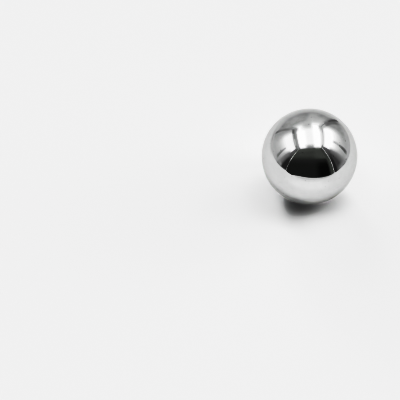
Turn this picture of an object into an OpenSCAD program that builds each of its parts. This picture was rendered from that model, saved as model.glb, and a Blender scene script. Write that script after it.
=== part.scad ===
// Polished steel ball, solid right through.
// The origin is the ball's centre, with +Z up. It rests on its lowest point, in a ring or a cup.

/* [Ball] */
// Diameter over the lapped surface, the 2 1/2 inch stock size
ball_d = 63.5; // [5:0.5:150]

/* [Hidden] */
// Facets round the equator where the ball is drawn as a mesh
ball_fn = 180;

// Ground and lapped all over, so it has no flat, seam, centre hole or parting line
module ball() {
    color("silver") sphere(d = ball_d, $fn = ball_fn);
}

ball();
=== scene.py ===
"""Looks of a polished steel ball, and the small white studio that it mirrors."""

import math

import bpy
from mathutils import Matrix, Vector


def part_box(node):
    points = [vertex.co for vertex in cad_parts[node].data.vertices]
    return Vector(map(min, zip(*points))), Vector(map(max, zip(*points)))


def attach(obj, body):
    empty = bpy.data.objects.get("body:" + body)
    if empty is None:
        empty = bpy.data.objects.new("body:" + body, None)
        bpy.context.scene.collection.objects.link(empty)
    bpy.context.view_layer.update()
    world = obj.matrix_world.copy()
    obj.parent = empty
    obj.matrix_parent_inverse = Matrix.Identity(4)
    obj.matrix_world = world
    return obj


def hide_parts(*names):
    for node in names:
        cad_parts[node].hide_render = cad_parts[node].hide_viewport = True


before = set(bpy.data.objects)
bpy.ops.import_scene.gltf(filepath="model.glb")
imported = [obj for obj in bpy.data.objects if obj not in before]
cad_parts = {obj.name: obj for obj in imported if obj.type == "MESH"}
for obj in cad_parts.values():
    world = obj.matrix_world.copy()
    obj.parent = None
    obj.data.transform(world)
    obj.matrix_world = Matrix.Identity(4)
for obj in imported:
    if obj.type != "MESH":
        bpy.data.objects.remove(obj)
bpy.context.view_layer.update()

bl_info = {
    "name": "Polished Steel Ball",
    "version": (1, 0, 0),
    "blender": (4, 5, 0),
    "location": "3D View > Sidebar > Steel Ball",
    "description": "Makes a polished steel ball and the white studio that it mirrors",
    "category": "Add Mesh",
}

MM = 0.001
NODE = "ball"
# The ball may differ from its CAD solid by no more than the facets of the CAD mesh
FACET_ALLOWANCE = 0.1 * MM

# Colours of a pit, of the film and of the rim, as shares of the clean steel's. Real steel is
# darker towards the rim than the shader's own metal.
PIT_SHADE = 0.45
FILM_SHADE = 0.965
RIM_SHADE = 0.8
# The film's roughness as a multiple of the clean steel's, and that of a pit or a hairline
FILM_ROUGHNESS = 2.0
MARK_ROUGHNESS = 0.22
# Chance to this power sizes a pit, so that few are large. Its depth is a share of its width.
PIT_RARITY = 2.0
PIT_DEPTH = 0.1
PIT_RELIEF = 0.4
# Noise values where the film sets in and where it is full, and the noise's own settings
FILM_START, FILM_FULL = 0.33, 0.67
FILM_DETAIL, FILM_GRAIN = 4.0, 0.6
# Sets of hairlines, by their share of the spacing, and where in a cell they fade out
HAIRLINE_SETS = (1.0, 0.6)
HAIRLINE_FADE = (0.25, 0.5)

# The studio is a white box of cloth with an open front, turned a little against the view.
# Its walls are given in mm from the ball's centre, along its own width, depth and height.
WALL_LEFT, WALL_RIGHT = -404, 289
WALL_FRONT, WALL_BACK = -266, 433
CEILING = 604
# The white floor ends in front of the box in an arc, seen here as a low arch in the front:
# where its top is, its rise, its reach to the left and to the right, and its steps
ARCH_TOP, ARCH_RISE, ARCH_LEFT, ARCH_RIGHT = -90, 30, 155, 330
ARCH_STEPS = 48
# How far the floor reaches each way. The sheet of light that stands for it in the ball
# reaches less far, and lies just over it.
FLOOR_REACH = 4000
SHEET_REACH = 900
SHEET_LIFT = 0.05
CARD_ROUGHNESS = 0.9
# Where the ball mirrors its own shadow: the sheet of light over the floor closes between
# these distances from the ball's foot, and inside them keeps this share
SHADOW_REACH = (30, 52)
SHADOW_VEIL = 0.46

# Width of the camera's frame in mm, and the distances between which it sees, in metres
SENSOR_WIDTH = 36.0
CAMERA_CLIP = (0.01, 20.0)

STEEL = "#D1D1D1"
FLOOR = "#E7E7E7"
# ROOM and CLOTH colour painted light: the room seen through the open front, and the walls, ceiling
# and floor sheet
ROOM = "#FBFDFA"
CLOTH = "#FFFFFF"

# Contrast of the picture: the light that a point sends, and the sRGB level at which it shows.
# The clear floor sends 1, and WHITE is the light that shows as white.
CONTRAST = (
    (0.15, 16),
    (0.30, 42),
    (0.40, 86),
    (0.50, 168),
    (0.60, 211),
    (0.70, 229),
    (0.80, 237),
    (1.00, 240),
    (1.15, 247),
    (1.30, 252),
)
WHITE = 1.5

# Soft lamps round the studio: azimuth from the back towards the right, elevation and spread,
# all in degrees, and strength
LAMPS = (
    (-24, 27, 8, 13.5),
    (60, 73, 11.5, 3.1),
    (-65, 2, 11, 14.0),
    (75, 27, 12.5, 7.4),
    (-129, 71, 8, 4.1),
)


def linear_level(level):
    """Linear value of an sRGB level between 0 and 255."""
    c = level / 255
    return c / 12.92 if c <= 0.04045 else ((c + 0.055) / 1.055) ** 2.4


def linear(hex_colour):
    """Linear RGB of an sRGB hex colour."""
    return [linear_level(int(hex_colour[i : i + 2], 16)) for i in (1, 3, 5)]


def lead(mapping, points):
    """Lead the last curve of a curve mapping through points, from 0, 0 to 1, 1."""
    curve = mapping.curves[len(mapping.curves) - 1]
    for place, value in points:
        curve.points.new(place, value)
    for point in curve.points:
        point.handle_type = "AUTO_CLAMPED"
    mapping.update()


def add(tree, kind, feeds=None, **settings):
    """Add a node, give it its settings, and set or link its inputs, by name or by number."""
    node = tree.nodes.new(kind)
    for name, value in settings.items():
        setattr(node, name, value)
    for socket, value in (feeds or {}).items():
        if isinstance(value, bpy.types.NodeSocket):
            tree.links.new(value, node.inputs[socket])
        else:
            node.inputs[socket].default_value = value
    return node


def new_material(name):
    """A material without nodes, and its tree."""
    material = bpy.data.materials.new(name)
    material.use_nodes = True
    material.node_tree.nodes.clear()
    return material, material.node_tree


def ball_tree():
    """Geometry Nodes: a cube's grid of faces, blown up to a sphere of even faces."""
    tree = bpy.data.node_groups.new("Ball from cube grid", "GeometryNodeTree")
    sockets = tree.interface
    sockets.new_socket("Diameter", in_out="INPUT", socket_type="NodeSocketFloat")
    sockets.new_socket("Vertices per side", in_out="INPUT", socket_type="NodeSocketInt")
    sockets.new_socket("Steel", in_out="INPUT", socket_type="NodeSocketMaterial")
    sockets.new_socket("Ball", in_out="OUTPUT", socket_type="NodeSocketGeometry")
    given = add(tree, "NodeGroupInput").outputs

    count = given["Vertices per side"]
    cube = add(tree, "GeometryNodeMeshCube", {0: (2, 2, 2), 1: count, 2: count, 3: count})
    place = add(tree, "GeometryNodeInputPosition").outputs[0]
    # The tangent spaces the grid so that its faces come out nearly equal on the sphere
    angle = add(tree, "ShaderNodeVectorMath", {0: place, "Scale": math.pi / 4}, operation="SCALE")
    evened = add(tree, "ShaderNodeVectorMath", {0: angle.outputs[0]}, operation="TANGENT")
    outward = add(tree, "ShaderNodeVectorMath", {0: evened.outputs[0]}, operation="NORMALIZE")
    radius = add(tree, "ShaderNodeMath", {0: given["Diameter"], 1: 0.5}, operation="MULTIPLY")
    surface = add(
        tree,
        "ShaderNodeVectorMath",
        {0: outward.outputs[0], "Scale": radius.outputs[0]},
        operation="SCALE",
    )
    moved = add(
        tree,
        "GeometryNodeSetPosition",
        {"Geometry": cube.outputs["Mesh"], "Position": surface.outputs[0]},
    )
    smooth = add(tree, "GeometryNodeSetShadeSmooth", {"Geometry": moved.outputs[0]})
    real = add(tree, "GeometryNodeRealizeInstances", {"Geometry": smooth.outputs[0]})
    steel = add(
        tree,
        "GeometryNodeSetMaterial",
        {"Geometry": real.outputs[0], "Material": given["Steel"]},
    )
    add(tree, "NodeGroupOutput", {"Ball": steel.outputs[0]})
    return tree


def tiny_pits(tree, place, look):
    """Cover of the pits: a dot in the middle of each cell of a Voronoi pattern, mostly tiny."""
    cells = add(tree, "ShaderNodeTexVoronoi", {"Vector": place, "Scale": 1 / look.pit_spacing})
    chance = add(tree, "ShaderNodeSeparateColor", {0: cells.outputs["Color"]}).outputs[0]
    size = add(tree, "ShaderNodeMath", {0: chance, 1: PIT_RARITY}, operation="POWER")
    edge = add(
        tree,
        "ShaderNodeMath",
        {0: size.outputs[0], 1: look.pit_diameter / look.pit_spacing},
        operation="MULTIPLY",
    )
    return add(
        tree,
        "ShaderNodeMapRange",
        {
            "Value": cells.outputs["Distance"],
            "From Min": 0.0,
            "From Max": edge.outputs[0],
            "To Min": 1.0,
            "To Max": 0.0,
        },
        interpolation_type="SMOOTHSTEP",
    ).outputs[0]


def cloudy_film(tree, place, look):
    """Cover of the film: soft, faint clouds, dull in some places and clean in others."""
    clouds = add(
        tree,
        "ShaderNodeTexNoise",
        {
            "Vector": place,
            "Scale": 1 / look.film_size,
            "Detail": FILM_DETAIL,
            "Roughness": FILM_GRAIN,
        },
    )
    return add(
        tree,
        "ShaderNodeMapRange",
        {"Value": clouds.outputs["Fac"], "From Min": FILM_START, "From Max": FILM_FULL},
    ).outputs[0]


def hairlines(tree, place, spacing, width):
    """Cover of one set of hairlines.

    In each cell of a Voronoi pattern a thin plane through the cell's point, in a direction
    of its own, cuts the surface in one short line, which is strong in some cells only.
    """
    cells = add(tree, "ShaderNodeTexVoronoi", {"Vector": place, "Scale": 1 / spacing})
    chances = cells.outputs["Color"]
    aside = add(
        tree,
        "ShaderNodeVectorMath",
        {0: chances, 1: (2, 2, 2), 2: (-1, -1, -1)},
        operation="MULTIPLY_ADD",
    )
    across = add(tree, "ShaderNodeVectorMath", {0: aside.outputs[0]}, operation="NORMALIZE")
    offset = add(
        tree,
        "ShaderNodeVectorMath",
        {0: place, 1: cells.outputs["Position"]},
        operation="SUBTRACT",
    )
    off_plane = add(
        tree,
        "ShaderNodeVectorMath",
        {0: offset.outputs[0], 1: across.outputs[0]},
        operation="DOT_PRODUCT",
    )
    away = add(tree, "ShaderNodeMath", {0: off_plane.outputs["Value"]}, operation="ABSOLUTE")
    strength = add(tree, "ShaderNodeSeparateColor", {0: chances}).outputs[2]
    line = add(
        tree,
        "ShaderNodeMapRange",
        {
            "Value": away.outputs[0],
            "From Min": 0.0,
            "From Max": width,
            "To Min": strength,
            "To Max": 0.0,
        },
        interpolation_type="SMOOTHSTEP",
    )
    short = add(
        tree,
        "ShaderNodeMapRange",
        {
            "Value": cells.outputs["Distance"],
            "From Min": HAIRLINE_FADE[0],
            "From Max": HAIRLINE_FADE[1],
            "To Min": 1.0,
            "To Max": 0.0,
        },
        interpolation_type="SMOOTHSTEP",
    )
    return add(
        tree, "ShaderNodeMath", {0: line.outputs[0], 1: short.outputs[0]}, operation="MULTIPLY"
    ).outputs[0]


def polished_bearing_steel(look):
    """Hardened chrome steel, ground and lapped all over to a mirror.

    The eye gets a sharp, slightly grey image of the surroundings, with a faint cloudy
    film, a few hairlines and tiny pits, and no colour of its own.
    """
    material, tree = new_material("polished bearing steel")
    place = add(tree, "ShaderNodeTexCoord").outputs["Object"]
    pit = tiny_pits(tree, place, look)
    film = cloudy_film(tree, place, look)
    marks = pit
    for share in HAIRLINE_SETS:
        hair = hairlines(tree, place, look.hairline_spacing * share, look.hairline_width)
        marks = add(tree, "ShaderNodeMath", {0: marks, 1: hair}, operation="MAXIMUM").outputs[0]

    clean = list(look.steel_colour)
    dull = [c * FILM_SHADE for c in clean]
    worn = [c * PIT_SHADE for c in clean]
    filmed = add(
        tree,
        "ShaderNodeMix",
        {0: film, 6: (*clean, 1), 7: (*dull, 1)},
        data_type="RGBA",
    ).outputs[2]
    colour = add(
        tree,
        "ShaderNodeMix",
        {0: pit, 6: filmed, 7: (*worn, 1)},
        data_type="RGBA",
    ).outputs[2]
    polish = add(
        tree,
        "ShaderNodeMapRange",
        {
            "Value": film,
            "To Min": look.polish_roughness,
            "To Max": look.polish_roughness * FILM_ROUGHNESS,
        },
    ).outputs[0]
    roughness = add(
        tree,
        "ShaderNodeMix",
        {0: marks, 2: polish, 3: MARK_ROUGHNESS},
        data_type="FLOAT",
    ).outputs[0]
    hollow = add(tree, "ShaderNodeMath", {0: pit, 1: -1.0}, operation="MULTIPLY").outputs[0]
    bump = add(
        tree,
        "ShaderNodeBump",
        {"Height": hollow, "Strength": PIT_RELIEF, "Distance": look.pit_diameter * PIT_DEPTH},
    )
    shader = add(
        tree,
        "ShaderNodeBsdfPrincipled",
        {
            "Base Color": colour,
            "Metallic": 1.0,
            "Specular Tint": (RIM_SHADE, RIM_SHADE, RIM_SHADE, 1),
            "Roughness": roughness,
            "Normal": bump.outputs[0],
        },
    )
    add(tree, "ShaderNodeOutputMaterial", {"Surface": shader.outputs[0]})
    return material


class SteelBallSettings(bpy.types.PropertyGroup):
    """Sizes and finish of the ball."""

    diameter: bpy.props.FloatProperty(
        name="Diameter",
        description="Diameter over the lapped surface",
        default=63.5 * MM,
        min=5 * MM,
        unit="LENGTH",
        subtype="DISTANCE",
        precision=4,
    )
    vertices: bpy.props.IntProperty(
        name="Vertices per side",
        description="Vertices along each side of the cube grid that becomes the ball",
        default=97,
        min=9,
        max=129,
    )
    steel_colour: bpy.props.FloatVectorProperty(
        name="Steel colour",
        description="Colour that the polished steel gives to what it mirrors",
        default=linear(STEEL),
        min=0.0,
        max=1.0,
        size=3,
        subtype="COLOR",
    )
    polish_roughness: bpy.props.FloatProperty(
        name="Polish roughness",
        description="Roughness of the clean, lapped surface",
        default=0.02,
        min=0.0,
        max=1.0,
        subtype="FACTOR",
    )
    film_size: bpy.props.FloatProperty(
        name="Film size",
        description="Width of the faint clouds that handling leaves",
        default=7 * MM,
        unit="LENGTH",
        subtype="DISTANCE",
        precision=4,
    )
    pit_spacing: bpy.props.FloatProperty(
        name="Pit spacing",
        description="Mean distance between the cells that may hold a pit",
        default=2.2 * MM,
        unit="LENGTH",
        subtype="DISTANCE",
        precision=4,
    )
    pit_diameter: bpy.props.FloatProperty(
        name="Pit diameter",
        description="Diameter of the largest pits",
        default=0.4 * MM,
        unit="LENGTH",
        subtype="DISTANCE",
        precision=5,
    )
    hairline_spacing: bpy.props.FloatProperty(
        name="Hairline spacing",
        description="Mean distance between the longer hairlines that use has left",
        default=11 * MM,
        unit="LENGTH",
        subtype="DISTANCE",
        precision=4,
    )
    hairline_width: bpy.props.FloatProperty(
        name="Hairline width",
        description="Width of a hairline, drawn wider than a real one so that it shows",
        default=0.12 * MM,
        unit="LENGTH",
        subtype="DISTANCE",
        precision=5,
    )


class StudioSettings(bpy.types.PropertyGroup):
    """Floor, light and camera of the studio."""

    floor_colour: bpy.props.FloatVectorProperty(
        name="Floor colour",
        description="Colour of the matt floor",
        default=linear(FLOOR),
        min=0.0,
        max=1.0,
        size=3,
        subtype="COLOR",
    )
    light_level: bpy.props.FloatProperty(
        name="Light level",
        description="Strength of the soft light on the floor",
        default=1.25,
        min=0.0,
    )
    turn: bpy.props.FloatProperty(
        name="Turn of the box",
        description="Turn of the white box against the view",
        default=math.radians(3.17),
        subtype="ANGLE",
        unit="ROTATION",
    )
    camera_distance: bpy.props.FloatProperty(
        name="Camera distance",
        description="Distance from the ball's centre to the camera",
        default=972.5 * MM,
        unit="LENGTH",
        subtype="DISTANCE",
    )
    camera_elevation: bpy.props.FloatProperty(
        name="Camera elevation",
        description="Height of the camera over the ball, as an angle",
        default=math.radians(47.57),
        subtype="ANGLE",
        unit="ROTATION",
    )
    camera_azimuth: bpy.props.FloatProperty(
        name="Camera azimuth",
        description="Angle from the front to the camera, positive towards the right",
        default=math.radians(-6.313),
        subtype="ANGLE",
        unit="ROTATION",
    )
    camera_tilt: bpy.props.FloatProperty(
        name="Camera tilt",
        description="Angle of the camera's axis below the horizon",
        default=math.radians(49.445),
        subtype="ANGLE",
        unit="ROTATION",
    )
    lens: bpy.props.FloatProperty(
        name="Lens",
        description="Focal length in mm for a frame 36 mm wide",
        default=132.3,
        min=1.0,
    )


class STEELBALL_OT_make_ball(bpy.types.Operator):
    """Make the polished steel ball in place of its CAD solid"""

    bl_idname = "steelball.make_ball"
    bl_label = "Make Steel Ball"

    def execute(self, context):
        look = context.scene.steel_ball
        low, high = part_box(NODE)
        if abs((high.z - low.z) - look.diameter) > FACET_ALLOWANCE:
            raise RuntimeError("the ball's diameter is not that of the CAD solid")

        ball = bpy.data.objects.new("steel_ball", bpy.data.meshes.new("steel_ball"))
        context.scene.collection.objects.link(ball)
        tree = ball_tree()
        shape = ball.modifiers.new("Ball shape", "NODES")
        shape.node_group = tree
        values = {
            "Diameter": look.diameter,
            "Vertices per side": look.vertices,
            "Steel": polished_bearing_steel(look),
        }
        for socket in tree.interface.items_tree:
            if socket.in_out == "INPUT":
                shape[socket.identifier] = values[socket.name]
        context.view_layer.update()
        made = ball.evaluated_get(context.evaluated_depsgraph_get())
        mesh = bpy.data.meshes.new_from_object(made)
        if not mesh.polygons or not mesh.materials:
            raise RuntimeError("the ball came out without faces or without its steel")
        ball.modifiers.remove(shape)
        ball.data = mesh
        mesh.name = "steel_ball"

        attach(ball, "root")
        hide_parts(NODE)
        return {"FINISHED"}


def matt_white_card(colour):
    """Uncoated white card, which gives a pale, even ground without any gloss."""
    material, tree = new_material("matt white floor")
    shader = add(
        tree,
        "ShaderNodeBsdfPrincipled",
        {"Base Color": (*colour, 1), "Roughness": CARD_ROUGHNESS, "Specular IOR Level": 0.0},
    )
    add(tree, "ShaderNodeOutputMaterial", {"Surface": shader.outputs[0]})
    return material


def patch_group():
    """A node group that lays one soft-edged patch of light or shade over a tone.

    Along each direction the patch fades in between the first two places and out between
    the last two. Lean moves it sideways with height.
    """
    group = bpy.data.node_groups.new("Soft patch", "ShaderNodeTree")
    names = ["Tone", "Patch", "Across", "Up", "Lean"]
    names += [f"{axis} {i}" for axis in ("Across", "Up") for i in range(4)]
    for name in names:
        group.interface.new_socket(name, in_out="INPUT", socket_type="NodeSocketFloat")
    group.interface.new_socket("Tone", in_out="OUTPUT", socket_type="NodeSocketFloat")
    given = add(group, "NodeGroupInput").outputs

    slip = add(group, "ShaderNodeMath", {0: given["Lean"], 1: given["Up"]}, operation="MULTIPLY")
    upright = add(
        group, "ShaderNodeMath", {0: given["Across"], 1: slip.outputs[0]}, operation="SUBTRACT"
    )
    cover = None
    for axis, place in (("Across", upright.outputs[0]), ("Up", given["Up"])):
        for first, rises in ((0, 1.0), (2, 0.0)):
            edge = add(
                group,
                "ShaderNodeMapRange",
                {
                    "Value": place,
                    "From Min": given[f"{axis} {first}"],
                    "From Max": given[f"{axis} {first + 1}"],
                    "To Min": 1.0 - rises,
                    "To Max": rises,
                },
                interpolation_type="SMOOTHSTEP",
            ).outputs[0]
            if cover is None:
                cover = edge
            else:
                cover = add(
                    group, "ShaderNodeMath", {0: cover, 1: edge}, operation="MULTIPLY"
                ).outputs[0]
    laid = add(
        group,
        "ShaderNodeMix",
        {0: cover, 2: given["Tone"], 3: given["Patch"]},
        data_type="FLOAT",
    )
    add(group, "NodeGroupOutput", {"Tone": laid.outputs[0]})
    return group


def lit_material(name, group, colour, axes, tone, patches, hole=None):
    """Light of one side of the studio, laid in soft patches across and up two of its axes.

    A hole lets what lies behind show round the object's origin, and closes between two radii.
    """
    material, tree = new_material(name)
    place = add(tree, "ShaderNodeTexCoord").outputs["Object"]
    in_mm = add(tree, "ShaderNodeVectorMath", {0: place, "Scale": 1 / MM}, operation="SCALE")
    parts = add(tree, "ShaderNodeSeparateXYZ", {0: in_mm.outputs[0]}).outputs
    across, up = parts[axes[0]], parts[axes[1]]
    for patch_tone, places_across, places_up, lean in patches:
        feeds = {
            "Tone": tone,
            "Patch": patch_tone,
            "Across": across,
            "Up": up,
            "Lean": lean,
        }
        feeds.update({f"Across {i}": p for i, p in enumerate(places_across)})
        feeds.update({f"Up {i}": p for i, p in enumerate(places_up)})
        tone = add(tree, "ShaderNodeGroup", feeds, node_tree=group).outputs["Tone"]
    share = add(tree, "ShaderNodeMath", {0: tone, 1: 1 / 255}, operation="MULTIPLY")
    sent = add(tree, "ShaderNodeFloatCurve", {"Value": share.outputs[0]})
    lead(sent.mapping, [(level / 255, light / WHITE) for light, level in CONTRAST])
    # The ball sends back a part of this light only, so each side glows that much more
    gain = WHITE / (sum(linear(STEEL)) / 3)
    light = add(tree, "ShaderNodeMath", {0: sent.outputs[0], 1: gain}, operation="MULTIPLY")
    glow = add(
        tree, "ShaderNodeEmission", {"Color": (*linear(colour), 1), "Strength": light.outputs[0]}
    )
    shown = glow.outputs[0]
    if hole:
        reach = add(tree, "ShaderNodeVectorMath", {0: in_mm.outputs[0]}, operation="LENGTH")
        closed = add(
            tree,
            "ShaderNodeMapRange",
            {
                "Value": reach.outputs["Value"],
                "From Min": hole[0],
                "From Max": hole[1],
                "To Min": SHADOW_VEIL,
            },
            interpolation_type="SMOOTHSTEP",
        )
        clear = add(tree, "ShaderNodeBsdfTransparent").outputs[0]
        both = add(tree, "ShaderNodeMixShader", {0: closed.outputs[0], 1: clear, 2: shown})
        shown = both.outputs[0]
    add(tree, "ShaderNodeOutputMaterial", {"Surface": shown})
    material.cycles.emission_sampling = "NONE"
    return material


# A patch that goes on past the edge of a side ends between these places
FAR = (1900, 2000)
EVERYWHERE = (-FAR[1], -FAR[0], *FAR)


def beyond(start, end):
    """Places of a patch that fades in and goes on."""
    return (start, end, *FAR)


def up_to(start, end):
    """Places of a patch that comes from far away and fades out."""
    return (-FAR[1], -FAR[0], start, end)


# Each side is painted light: the sRGB level at which it shows in the ball, and patches of painted
# light and shade laid over it in turn: their level, where they fade in and out across, where they
# do so upwards, and their lean.
LEFT_WALL = (
    76,
    [
        (26, EVERYWHERE, up_to(150, 420), 0),
        (100, beyond(-165, -90), up_to(230, 330), -0.25),
        (158, beyond(-95, -38), EVERYWHERE, -0.25),
        (247, beyond(-75, 0), beyond(30, 310), -0.25),
        (247, beyond(-185, -150), beyond(250, 370), 0),
        (176, beyond(-210, -140), beyond(480, 530), 0),
        (110, (-210, -180, -150, -90), beyond(510, 560), 0),
        (138, beyond(60, 110), beyond(520, 580), 0),
        (150, beyond(50, 265), EVERYWHERE, 0.35),
        (106, beyond(372, 405), up_to(330, 460), 0),
        (66, beyond(385, 410), up_to(40, 120), 0),
        (78, beyond(240, 300), beyond(490, 560), 0),
        (132, (-160, -115, -80, -50), up_to(15, 50), 0),
        (170, beyond(-40, 20), up_to(-10, 60), 0),
        (105, up_to(-60, -20), up_to(-30, -5), 0),
        (95, (-28, -12, -6, 28), (5, 60, 100, 285), -0.06),
        (150, (-18, -10, 0, 10), (170, 200, 230, 270), -0.06),
        (45, up_to(-245, -225), beyond(250, 350), 0),
        (255, up_to(-262, -261.5), EVERYWHERE, 0),
    ],
)
RIGHT_WALL = (
    66,
    [
        (24, EVERYWHERE, up_to(120, 420), 0),
        (45, beyond(-222, -192), up_to(180, 260), 0),
        (90, beyond(-138, -85), up_to(250, 300), -0.25),
        (158, beyond(-95, -38), EVERYWHERE, -0.25),
        (254, beyond(-78, -13), beyond(20, 290), -0.25),
        (252, beyond(-165, -122), beyond(255, 350), -0.03),
        (196, beyond(-200, -140), beyond(480, 590), 0),
        (160, beyond(120, 260), beyond(490, 580), 0),
        (130, (-215, -120, -85, -45), up_to(-25, 50), 0),
        (150, beyond(0, 150), beyond(-60, 70), 0.6),
        (172, beyond(-110, 20), up_to(0, 90), 0),
        (176, beyond(245, 350), beyond(330, 430), 0),
        (92, beyond(295, 345), (-30, 90, 260, 420), 0),
        (54, beyond(380, 425), up_to(190, 280), 0),
        (110, up_to(-165, -125), beyond(535, 570), 0),
        (178, (-20, -5, 12, 35), (150, 170, 235, 270), 0),
        (66, (-20, -7, 4, 24), (0, 45, 75, 200), 0),
        (108, beyond(392, 416), beyond(180, 300), 0),
        (70, EVERYWHERE, beyond(592, 597), 0),
        (255, up_to(-262.2, -261.7), EVERYWHERE, 0),
    ],
)
BACK_WALL = (
    151,
    [
        (200, EVERYWHERE, up_to(-32, 110), 0),
        (187, beyond(80, 200), up_to(-20, 60), 0),
        (176, up_to(-360, -240), up_to(-20, 70), 0),
        (167, (0, 70, 105, 165), (30, 90, 190, 270), 0),
        (187, EVERYWHERE, beyond(300, 470), 0),
        (187, beyond(-60, 60), beyond(100, 350), 0),
        (146, (-320, -250, -180, -80), (130, 210, 310, 400), 0),
        (240, (-345, -245, -215, -80), beyond(380, 580), 0),
        (243, (20, 90, 200, 265), beyond(340, 560), 0),
        (145, up_to(-340, -270), beyond(260, 380), 0),
        (158, up_to(-345, -310), beyond(420, 500), 0),
        (116, up_to(-400, -360), beyond(-20, 60), 0),
        (120, beyond(215, 310), (-20, 60, 300, 420), 0),
        (70, beyond(255, 289), up_to(150, 260), 0),
    ],
)
CEILING_CLOTH = (
    254,
    [
        (243, (-150, -60, 10, 90), EVERYWHERE, 0),
        (186, (-245, -40, 0, 100), beyond(220, 440), 0),
        (150, (-190, -70, 10, 100), up_to(-235, -120), 0),
        (122, EVERYWHERE, up_to(-280, -208), 0),
        (158, up_to(-345, -300), EVERYWHERE, 0),
        (150, up_to(-322, -250), beyond(250, 400), 0),
        (120, up_to(-340, -290), up_to(-235, -150), 0),
        (140, up_to(-395, -370), EVERYWHERE, 0),
        (115, up_to(-395, -370), beyond(60, 130), 0),
        (222, beyond(215, 262), EVERYWHERE, 0),
        (165, beyond(190, 265), beyond(150, 400), 0),
        (110, beyond(235, 280), up_to(-220, -160), 0),
    ],
)
OPEN_FRONT = (
    18,
    [
        (48, EVERYWHERE, beyond(130, 340), 0),
        (60, EVERYWHERE, beyond(400, 520), 0),
        (88, (-330, -280, -180, -110), beyond(560, 600), 0),
        (88, up_to(-400, -365), beyond(150, 350), 0),
        (56, beyond(-30, 130), beyond(205, 275), 0),
        (125, (60, 110, 230, 280), beyond(510, 600), 0),
        (8, beyond(10, 110), up_to(90, 240), 0),
        (46, beyond(190, 235), EVERYWHERE, 0),
    ],
)
FLOOR_AROUND = (
    213,
    [
        (192, EVERYWHERE, up_to(-300, -225), 0),
        (226, (-130, -40, 20, 80), (-200, -150, -90, -50), 0),
        (200, EVERYWHERE, beyond(150, 330), 0),
        (178, up_to(-330, -150), beyond(0, 200), 0),
        (104, up_to(-362, -335), beyond(230, 325), 0),
        (165, beyond(190, 280), beyond(50, 350), 0),
        (165, beyond(60, 160), up_to(-290, -190), 0),
        (100, beyond(225, 275), beyond(365, 415), 0),
    ],
)


def mesh_object(context, name, corners, faces, material, turn=0.0):
    """A stage object from corners in mm."""
    mesh = bpy.data.meshes.new(name)
    mesh.from_pydata([[c * MM for c in corner] for corner in corners], [], faces)
    mesh.materials.append(material)
    made = bpy.data.objects.new(name, mesh)
    made.rotation_euler.z = turn
    context.scene.collection.objects.link(made)
    return made


def only_mirrored(panel):
    """The panel shows in the ball and nowhere else."""
    panel.visible_camera = False
    panel.visible_diffuse = False
    panel.visible_shadow = False
    panel.visible_transmission = False


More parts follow.
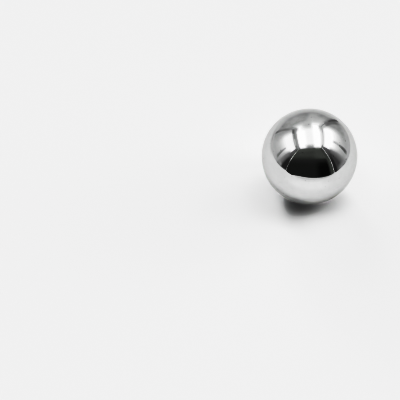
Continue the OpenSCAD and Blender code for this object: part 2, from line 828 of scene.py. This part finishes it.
class STEELBALL_OT_make_studio(bpy.types.Operator):
    """Make the pale floor, the white box of light that the ball mirrors, and the camera"""

    bl_idname = "steelball.make_studio"
    bl_label = "Make Studio"

    def execute(self, context):
        studio = context.scene.steel_ball_studio
        seat = -context.scene.steel_ball.diameter / 2 / MM
        self.add_floor(context, studio, seat)
        self.add_box(context, studio, seat)
        self.add_light(context, studio)
        self.add_camera(context, studio)
        return {"FINISHED"}

    def add_floor(self, context, studio, seat):
        """Plain pale floor under the ball."""
        far = FLOOR_REACH
        corners = [(-far, -far, seat), (far, -far, seat), (far, far, seat), (-far, far, seat)]
        material = matt_white_card(studio.floor_colour)
        mesh_object(context, "floor", corners, [(0, 1, 2, 3)], material)

    def add_box(self, context, studio, seat):
        """Cloth walls and ceiling, the dark open front, and the floor round the shadow, all
        painted light.
        """
        group = patch_group()
        left, right, front, back, top = WALL_LEFT, WALL_RIGHT, WALL_FRONT, WALL_BACK, CEILING

        def panel(name, side, colour, axes, corners, faces=((0, 1, 2, 3),), hole=None):
            material = lit_material(name, group, colour, axes, *side, hole=hole)
            made = mesh_object(context, name, corners, faces, material, studio.turn)
            only_mirrored(made)
            return made

        for name, side, x in (("left_wall", LEFT_WALL, left), ("right_wall", RIGHT_WALL, right)):
            corners = [(x, front, seat), (x, back, seat), (x, back, top), (x, front, top)]
            panel(name, side, CLOTH, "YZ", corners)
        corners = [(left, back, seat), (right, back, seat), (right, back, top), (left, back, top)]
        panel("back_wall", BACK_WALL, CLOTH, "XZ", corners)
        corners = [(left, front, top), (right, front, top), (right, back, top), (left, back, top)]
        panel("ceiling", CEILING_CLOTH, CLOTH, "XY", corners)

        foot = []
        for i in range(ARCH_STEPS + 1):
            x = left + (right - left) * i / ARCH_STEPS
            reach = ARCH_LEFT if x < ARCH_TOP else ARCH_RIGHT
            rise = ARCH_RISE * max(0.0, 1 - ((x - ARCH_TOP) / reach) ** 2)
            foot.append((x, front, seat + rise))
        head = [(x, front, top) for x, _, _ in foot]
        row = ARCH_STEPS + 1
        faces = [(i, i + 1, row + i + 1, row + i) for i in range(ARCH_STEPS)]
        panel("open_front", OPEN_FRONT, ROOM, "XZ", foot + head, faces)

        far = SHEET_REACH
        corners = [(-far, -far, 0), (far, -far, 0), (far, far, 0), (-far, far, 0)]
        sheet = panel("floor_around", FLOOR_AROUND, CLOTH, "XY", corners, hole=SHADOW_REACH)
        sheet.location.z = (seat + SHEET_LIFT) * MM

    def add_light(self, context, studio):
        """Soft lamps for the floor, a plain pale backdrop, and the contrast of the picture."""
        world = bpy.data.worlds.new("soft lamps")
        context.scene.world = world
        world.use_nodes = True
        tree = world.node_tree
        tree.nodes.clear()
        way = add(tree, "ShaderNodeTexCoord").outputs["Generated"]
        light = 0.0
        for azimuth, elevation, spread, strength in LAMPS:
            # A lobe's light falls off as a bell over the angle from its middle
            aside, height = math.radians(azimuth), math.radians(elevation)
            level = math.cos(height)
            towards = (math.sin(aside) * level, math.cos(aside) * level, math.sin(height))
            near = add(tree, "ShaderNodeVectorMath", {0: way, 1: towards}, operation="DOT_PRODUCT")
            narrow = math.radians(spread) ** -2
            depth = add(
                tree,
                "ShaderNodeMath",
                {0: near.outputs["Value"], 1: narrow, 2: -narrow},
                operation="MULTIPLY_ADD",
            )
            lobe = add(tree, "ShaderNodeMath", {0: depth.outputs[0]}, operation="EXPONENT")
            light = add(
                tree,
                "ShaderNodeMath",
                {0: lobe.outputs[0], 1: strength * studio.light_level, 2: light},
                operation="MULTIPLY_ADD",
            ).outputs[0]
        lamps = add(tree, "ShaderNodeBackground", {"Color": (1, 1, 1, 1), "Strength": light})
        backdrop = add(tree, "ShaderNodeBackground", {"Color": (1, 1, 1, 1), "Strength": 1.0})
        seen = add(tree, "ShaderNodeLightPath").outputs["Is Camera Ray"]
        both = add(
            tree,
            "ShaderNodeMixShader",
            {0: seen, 1: lamps.outputs[0], 2: backdrop.outputs[0]},
        )
        add(tree, "ShaderNodeOutputWorld", {"Surface": both.outputs[0]})

        view = context.scene.view_settings
        view.view_transform = "Standard"
        view.use_curve_mapping = True
        view.curve_mapping.white_level = (WHITE, WHITE, WHITE)
        points = [(light / WHITE, linear_level(level)) for light, level in CONTRAST]
        lead(view.curve_mapping, points)

    def add_camera(self, context, studio):
        """Camera that looks down on the ball through a long lens."""
        data = bpy.data.cameras.new("camera")
        data.lens = studio.lens
        data.sensor_width = SENSOR_WIDTH
        data.clip_start, data.clip_end = CAMERA_CLIP
        camera = bpy.data.objects.new("camera", data)
        turn, height = studio.camera_azimuth, studio.camera_elevation
        camera.location = studio.camera_distance * Vector(
            (
                math.sin(turn) * math.cos(height),
                -math.cos(turn) * math.cos(height),
                math.sin(height),
            )
        )
        camera.rotation_euler = (math.pi / 2 - studio.camera_tilt, 0.0, 0.0)
        context.scene.collection.objects.link(camera)
        context.scene.camera = camera


class STEELBALL_PT_sidebar(bpy.types.Panel):
    """Sidebar panel of the steel ball"""

    bl_idname = "STEELBALL_PT_sidebar"
    bl_label = "Steel Ball"
    bl_space_type = "VIEW_3D"
    bl_region_type = "UI"
    bl_category = "Steel Ball"

    def draw(self, context):
        for settings, operator in (
            (context.scene.steel_ball, STEELBALL_OT_make_ball),
            (context.scene.steel_ball_studio, STEELBALL_OT_make_studio),
        ):
            box = self.layout.box()
            for name in type(settings).__annotations__:
                box.prop(settings, name)
            box.operator(operator.bl_idname)


CLASSES = (
    SteelBallSettings,
    StudioSettings,
    STEELBALL_OT_make_ball,
    STEELBALL_OT_make_studio,
    STEELBALL_PT_sidebar,
)


def register():
    """Register the classes, and give each scene the settings of ball and studio."""
    for cls in CLASSES:
        bpy.utils.register_class(cls)
    bpy.types.Scene.steel_ball = bpy.props.PointerProperty(type=SteelBallSettings)
    bpy.types.Scene.steel_ball_studio = bpy.props.PointerProperty(type=StudioSettings)


def unregister():
    """Take back what register has done."""
    del bpy.types.Scene.steel_ball_studio
    del bpy.types.Scene.steel_ball
    for cls in reversed(CLASSES):
        bpy.utils.unregister_class(cls)


def main():
    """Make the ball and its studio."""
    register()
    bpy.ops.steelball.make_ball()
    bpy.ops.steelball.make_studio()


if __name__ == "__main__":
    main()
